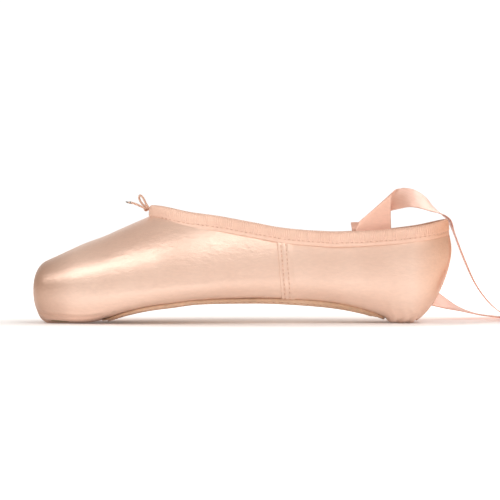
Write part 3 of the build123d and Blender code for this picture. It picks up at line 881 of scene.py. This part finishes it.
def make_drawstring_bow():
    centre = route_points(LOOP_ROUTE)
    fine = through(centre, 420)
    loop = tube("string_loop", fine, CORD_D / 2, around=18, bumps=braid)
    finish_with(keep(loop, ["drawstring_loop"], "drawstring_bow"), CORD)
    t = np.linspace(0.15, 2 * math.pi - 0.15, 200)
    turns = np.stack([np.sin(t) + 2 * np.sin(2 * t), np.cos(t) - 2 * np.cos(2 * t), -1.3 * np.sin(3 * t)], -1)
    knot_path = KNOT + turns[:, [2, 0, 1]] * (0.52, 0.5, 0.5)
    knot = tube("string_knot", knot_path, CORD_D * 0.52, around=14, bumps=braid)
    finish_with(keep(knot, ["drawstring_knot"], "drawstring_bow"), CORD)
    strand_path = through([(BOW_X, STRAND_Y, STRAND_FOOT), (BOW_X, STRAND_Y, 61.5), (-141.6, 0.9, 63.6),
                           tuple(KNOT)], 80)
    strand = tube("string_other_end", strand_path, CORD_D / 2, around=14, bumps=braid)
    finish_with(keep(strand, [], "drawstring_bow"), CORD)
    tip = make_frayed_tip(fine)


def make_frayed_tip(line):
    """Loose fibres that spread from the tail's cut end, bound by a turn of thread."""
    end = line[-1]
    along = line[-1] - line[-6]
    along /= np.linalg.norm(along)
    side = np.cross(along, (0, 0, 1))
    side /= np.linalg.norm(side)
    other = np.cross(along, side)
    rng = np.random.default_rng(81)
    fibres = []
    for _ in range(34):
        a, spread = rng.uniform(0, 2 * math.pi), rng.uniform(0.1, 0.9)
        out = side * math.cos(a) + other * math.sin(a)
        long = rng.uniform(1.0, 1.9)
        path = np.array([end - along * 0.9 + out * 0.35 * spread, end + out * 0.45 * spread,
                         end + along * long * 0.5 + out * 0.75 * spread,
                         end + along * long + out * (0.6 + rng.uniform(0, 0.5)) * spread])
        fibres.append(tube("fibre", through(path, 8), np.linspace(0.12, 0.05, 8), around=5))
    turn = np.linspace(0, 4.2 * 2 * math.pi, 90)
    wound = end - along * (1.5 - 0.22 * turn[:, None] / 6.28) + 0.66 * (
        side * np.cos(turn)[:, None] + other * np.sin(turn)[:, None])
    fibres.append(tube("whipping", wound, 0.13, around=6))
    tip = join(fibres, "string_frayed_end")
    return finish_with(keep(tip, ["drawstring_tip"], "drawstring_bow"), FRAY)


def join(pieces, name):
    """One object from several meshes that have no modifiers."""
    points, faces, base = [], [], 0
    for piece in pieces:
        mesh = piece.data
        points += [v.co[:] for v in mesh.vertices]
        faces += [[base + i for i in p.vertices] for p in mesh.polygons]
        base += len(mesh.vertices)
        bpy.data.objects.remove(piece)
    mesh = bpy.data.meshes.new(name)
    mesh.from_pydata(points, [], faces)
    mesh.polygons.foreach_set("use_smooth", [True] * len(mesh.polygons))
    made = bpy.data.objects.new(name, mesh)
    bpy.context.scene.collection.objects.link(made)
    return made


make_drawstring_bow()


# ---- ribbons ----------------------------------------------------------------------------------------
RIBBON_W, RIBBON_L = 20.0, 500.0
RIBBON_POINTS = 900
RIBBON_X = -16.0
ROLL_HOLE, ROLL_PITCH = 3.2, 1.05
NEAR_FOLD = [((-26, -22.4, 34), (-6, -22.4, 34)), ((-26, -19.9, 43.5), (-6, -19.9, 43.5)),
             ((-26, -17.4, 51.5), (-6.2, -17.4, 53.0)), ((-25.6, -17.0, 53.5), (-6.4, -17.3, 60.0)),
             ((-24.8, -16.6, 55.2), (-6.3, -17.0, 67.0)), ((-23.0, -16.0, 57.6), (-5.6, -16.0, 72.4)),
             ((-17.0, -15.6, 59.6), (-4.2, -11.5, 74.2)), ((-8.5, -15.8, 62.6), (-2.0, -4.5, 75.4))]
NEAR_FALL = [((-1.0, -15.5, 64.4), (0.6, 0.8, 76.0)), ((4.5, -13.6, 65.3), (4.2, 4.0, 76.2)),
             ((10.5, -11.0, 64.6), (9.6, 6.6, 75.0)), ((16.5, -8.6, 63), (15.5, 10, 71.4)),
             ((21, -6.5, 62), (20.3, 13, 66)), ((25.3, -5.5, 60.6), (25.3, 14.5, 61.4)),
             ((28.9, -4.5, 57.4), (28.9, 15.5, 57.8)), ((31.2, -3, 50), (31.2, 17, 50.5)),
             ((36.6, 0, 36.8), (36.6, 20, 36.8)),
             ((43.2, 3, 22.8), (43.2, 23, 22.8)), ((50.2, 4.8, 12.8), (50.2, 24.8, 12.8)),
             ((57.5, 5.8, 5.9), (57.5, 25.8, 5.9)), ((66, 6, 1.7), (66, 26, 1.7))]
FAR_COURSE = [((-26, 22.4, 34), (-6, 22.4, 34)), ((-26, 19.9, 43.5), (-6, 19.9, 43.5)),
              ((-26, 17.4, 51.5), (-6, 17.4, 52)), ((-26.5, 19.3, 55.6), (-6.5, 19.3, 56)),
              ((-26.2, 22.8, 56.4), (-6.4, 22.8, 56.8)), ((-24.5, 26.4, 54.6), (-5.6, 26.8, 55.6)),
              ((-19, 31, 39), (-3, 31, 51)), ((-11.5, 34, 27.5), (3.5, 34, 40.5)),
              ((0.5, 32.5, 16.5), (11.5, 39.5, 31.5)), ((14, 30, 10.3), (20, 46, 20.7)),
              ((27, 30.2, 6.8), (29, 48.8, 13.6)), ((39, 30.5, 4.6), (39, 50.5, 6.6)),
              ((50, 31.5, 2.4), (50, 51.5, 2.4)), ((62, 32, 0.8), (62, 52, 0.8))]
ROLL_X = 76.0
ROLL_TOP = 11.8


def roll_course(y, length):
    """The rest of a ribbon, wound inwards from the floor: pairs of edge points."""
    outer = ROLL_TOP - 0.5
    swept = 0.0
    pairs = []
    angle = 0.0
    while swept < length and outer - ROLL_PITCH * angle / (2 * math.pi) > ROLL_HOLE:
        r = outer - ROLL_PITCH * angle / (2 * math.pi)
        x, z = ROLL_X + r * math.sin(angle), ROLL_TOP - r * math.cos(angle)
        pairs.append(((x, y, z), (x, y + RIBBON_W, z)))
        swept += r * 0.12
        angle += 0.12
    return pairs


def ribbon_length(pairs):
    middle = np.array(pairs, float).mean(axis=1)
    return np.linalg.norm(np.diff(middle, axis=0), axis=1).sum()


def make_ribbon(course, y, label):
    """A satin ribbon with thicker woven edges, smooth between the pairs of edge points."""
    first = np.array(course, float).reshape(-1, 6)
    laid = through(first, 260)
    wound = np.array(roll_course(y, RIBBON_L - ribbon_length(course))).reshape(-1, 6)
    edges = np.vstack([laid, wound])
    run = np.concatenate([[0], np.cumsum(np.linalg.norm(np.diff(edges, axis=0), axis=1))])
    edges = np.stack([np.interp(np.linspace(0, run[-1], RIBBON_POINTS), run, edges[:, k])
                      for k in range(6)], -1)
    across = np.linspace(0, 1, 25)[None, :, None]
    points = edges[:, None, :3] * (1 - across) + edges[:, None, 3:] * across
    share = across[..., 0]
    lift = 0.12 * (smooth(0.04, 0.0, share) + smooth(0.96, 1.0, share)) * np.ones((RIBBON_POINTS, 1))
    waves = ripple(np.linspace(0, 60, RIBBON_POINTS)[:, None], share * 4, 91)
    lift += 0.10 * waves * smooth(0, 40, np.arange(RIBBON_POINTS))[:, None]
    made = cloth("ribbon_" + label + "_cloth", points, thick=0.28, lift=lift)
    finish_with(keep(made, ["ribbon_" + label]), RIBBON)
    return made


def make_ribbon_stitches(side, label):
    """Whip stitches down both sides of the sewn end and across its foot."""
    spots = []
    def at(x, z):
        return np.array([x, side * (22.4 - 5.0 * (z - 34) / 17.5 - 0.25), z])
    for k in range(7):
        z = 35 + k * 1.6
        for x in (RIBBON_X - 9.2, RIBBON_X + 9.2):
            spots.append((at(x, z), (1, 0, 0.5), (0, -side, 0)))
    for k in range(8):
        spots.append((at(RIBBON_X - 8 + k * 2.3, 34.8), (0.6, 0, 1), (0, -side, 0)))
    made = stitches("ribbon_thread_" + label, spots, length=1.7, radius=0.2)
    return finish_with(keep(made, ["ribbon_stitches_" + label]), THREAD)


def edge_on(pairs):
    """Sets each far edge back along the line of sight, so that the ribbon is seen from its side."""
    return [(near, (far[0] + 0.011 * (near[0] + 84.8), far[1], far[2])) for near, far in pairs]


make_ribbon(NEAR_FOLD + NEAR_FALL[:7] + edge_on(NEAR_FALL[7:]), 6.0, "near")
make_ribbon(FAR_COURSE, 32.0, "far")
make_ribbon_stitches(-1, "near")
make_ribbon_stitches(1, "far")


# ---- CAD pieces that keep their shape ---------------------------------------------------------------
for node, material in {"shank": SHANK, "insole_board": BOARD, "toe_box": PASTE, "shank_nails": BRASS,
                       "drawstring": CORD}.items():
    finish_with(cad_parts[node], material)


# ---- floor, light and camera -----------------------------------------------------------------------------
def make_floor():
    mesh = bpy.data.meshes.new("floor")
    size = 3.0
    corners = [(-size, -size, 0), (size, -size, 0), (size, size, 0), (-size, size, 0)]
    mesh.from_pydata(corners, [], [(0, 1, 2, 3)])
    floor = bpy.data.objects.new("floor", mesh)
    bpy.context.scene.collection.objects.link(floor)
    m = Nodes("floor_white", 0.9, Base_Color=(0.93, 0.93, 0.93, 1))
    m.shader.inputs["Emission Color"].default_value = (1, 1, 1, 1)
    # The floor glows white away from the shoe, and keeps its own soft shadow round it.
    where, mapping = m.add("ShaderNodeTexCoord"), m.add("ShaderNodeMapping")
    mapping.inputs["Scale"].default_value = (1 / 0.27, 1 / 0.075, 1)
    mapping.inputs["Location"].default_value = (0.08 / 0.27, 0, 0)
    m.join(where, mapping, 3, 0)
    near = m.join(mapping, m.add("ShaderNodeTexGradient", gradient_type="SPHERICAL"), 0, 0)
    near = m.ramp(near, [(0.0, (1, 1, 1, 1)), (0.28, (0.9, 0.9, 0.9, 1)), (0.62, (0.15, 0.15, 0.15, 1))])
    parts = m.join(where, m.add("ShaderNodeSeparateXYZ"), 3, 0)
    back = m.ramp(parts, [(0.0, (0.46, 0.46, 0.46, 1)), (0.5, (0.80, 0.80, 0.80, 1))], out=1)
    glow = m.add("ShaderNodeMath", operation="MULTIPLY")
    m.join(near, glow, 0, 0)
    m.join(back, glow, 0, 1)
    m.tree.links.new(glow.outputs[0], m.shader.inputs["Emission Strength"])
    floor.data.materials.append(m.material)


def area_light(name, place, target, size, power, colour=(1, 1, 1)):
    light = bpy.data.lights.new(name, "AREA")
    light.shape = "RECTANGLE"
    light.size, light.size_y = size
    light.energy = power
    light.color = colour
    holder = bpy.data.objects.new(name, light)
    holder.location = place
    holder.rotation_euler = (Vector(target) - Vector(place)).to_track_quat("-Z", "Y").to_euler()
    bpy.context.scene.collection.objects.link(holder)


def make_world(backdrop, room):
    """White backdrop behind the shoe, and a dimmer room round it and over it."""
    world = bpy.data.worlds.new("studio")
    world.use_nodes = True
    tree = world.node_tree
    background = next(n for n in tree.nodes if n.type == "BACKGROUND")
    where, parts = tree.nodes.new("ShaderNodeTexCoord"), tree.nodes.new("ShaderNodeSeparateXYZ")
    ramp = tree.nodes.new("ShaderNodeValToRGB")
    for element, place, level in zip(ramp.color_ramp.elements, (0.72, 0.93), (room, backdrop)):
        element.position, element.color = place, (*level, 1)
    tree.links.new(where.outputs["Generated"], parts.inputs[0])
    tree.links.new(parts.outputs["Y"], ramp.inputs[0])
    tree.links.new(ramp.outputs[0], background.inputs["Color"])
    background.inputs["Strength"].default_value = 1.0
    bpy.context.scene.world = world


def make_camera():
    data = bpy.data.cameras.new("camera")
    data.sensor_width = 36
    data.lens = 127
    camera = bpy.data.objects.new("camera", data)
    camera.location = (-84.8 * MM, -1.0, 58 * MM)
    target = Vector((-84.8 * MM, 0, 41 * MM))
    camera.rotation_euler = (target - camera.location).to_track_quat("-Z", "Y").to_euler()
    bpy.context.scene.collection.objects.link(camera)
    bpy.context.scene.camera = camera


make_floor()
make_world((1.06, 1.06, 1.06), (0.40, 0.345, 0.305))
area_light("key", (0.36, -0.70, 0.66), (0.02, 0, 0.03), (0.5, 0.4), 2.7)
area_light("streak", (-0.56, -0.56, 0.64), (-0.16, 0, 0.03), (0.95, 0.15), 2.9)
area_light("back", (0.35, 0.6, 0.5), (0.0, 0, 0.06), (0.3, 0.3), 1.6)
make_camera()
bpy.context.scene.view_settings.view_transform = "Standard"
